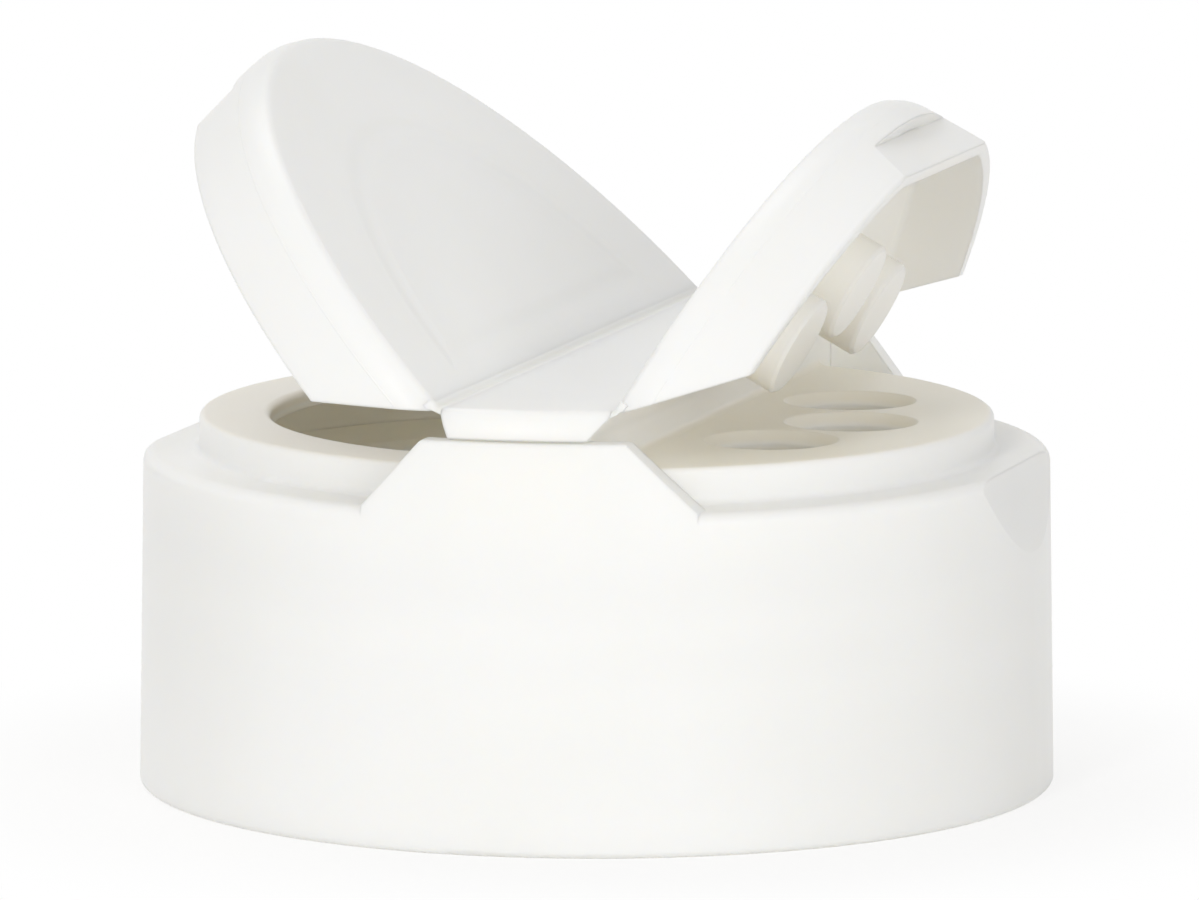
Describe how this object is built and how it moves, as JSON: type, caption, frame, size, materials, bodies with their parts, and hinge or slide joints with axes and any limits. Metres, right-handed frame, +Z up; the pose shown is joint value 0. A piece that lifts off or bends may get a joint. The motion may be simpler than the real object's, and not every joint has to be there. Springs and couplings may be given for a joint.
{
  "type": "flip top cap",
  "caption": "White plastic screw closure for a spice jar, with a pour opening and sift holes under separate hinged flaps, both partly open.",
  "frame": {"origin": "centre of the skirt's bottom rim", "axes": "+Z up along the thread axis, -Y toward the front pad, -X toward the pour flap, +X toward the sift flap"},
  "size_m": [0.0666, 0.0666, 0.0531],
  "materials": {
    "shell": "smooth white polypropylene, softly glossy",
    "web": "thin flexed white polypropylene"
  },
  "bodies": {
    "closure": {"closure_body": "shell", "pour_hinge_web": "web", "sift_hinge_web": "web"},
    "pour_lid": {"pour_flap": "shell"},
    "sift_lid": {"sift_flap": "shell"}
  },
  "joints": [
    {"name": "pour_hinge", "type": "hinge", "parent": "closure", "child": "pour_lid", "pos_m": [-0.00165, 0, 0.03155], "axis": [0, 1, 0], "range_deg": [-46, 54], "deforming": ["pour_hinge_web"]},
    {"name": "sift_hinge", "type": "hinge", "parent": "closure", "child": "sift_lid", "pos_m": [0.01065, 0, 0.03155], "axis": [0, -1, 0], "range_deg": [-61.8, 38.2], "deforming": ["sift_hinge_web"]}
  ]
}
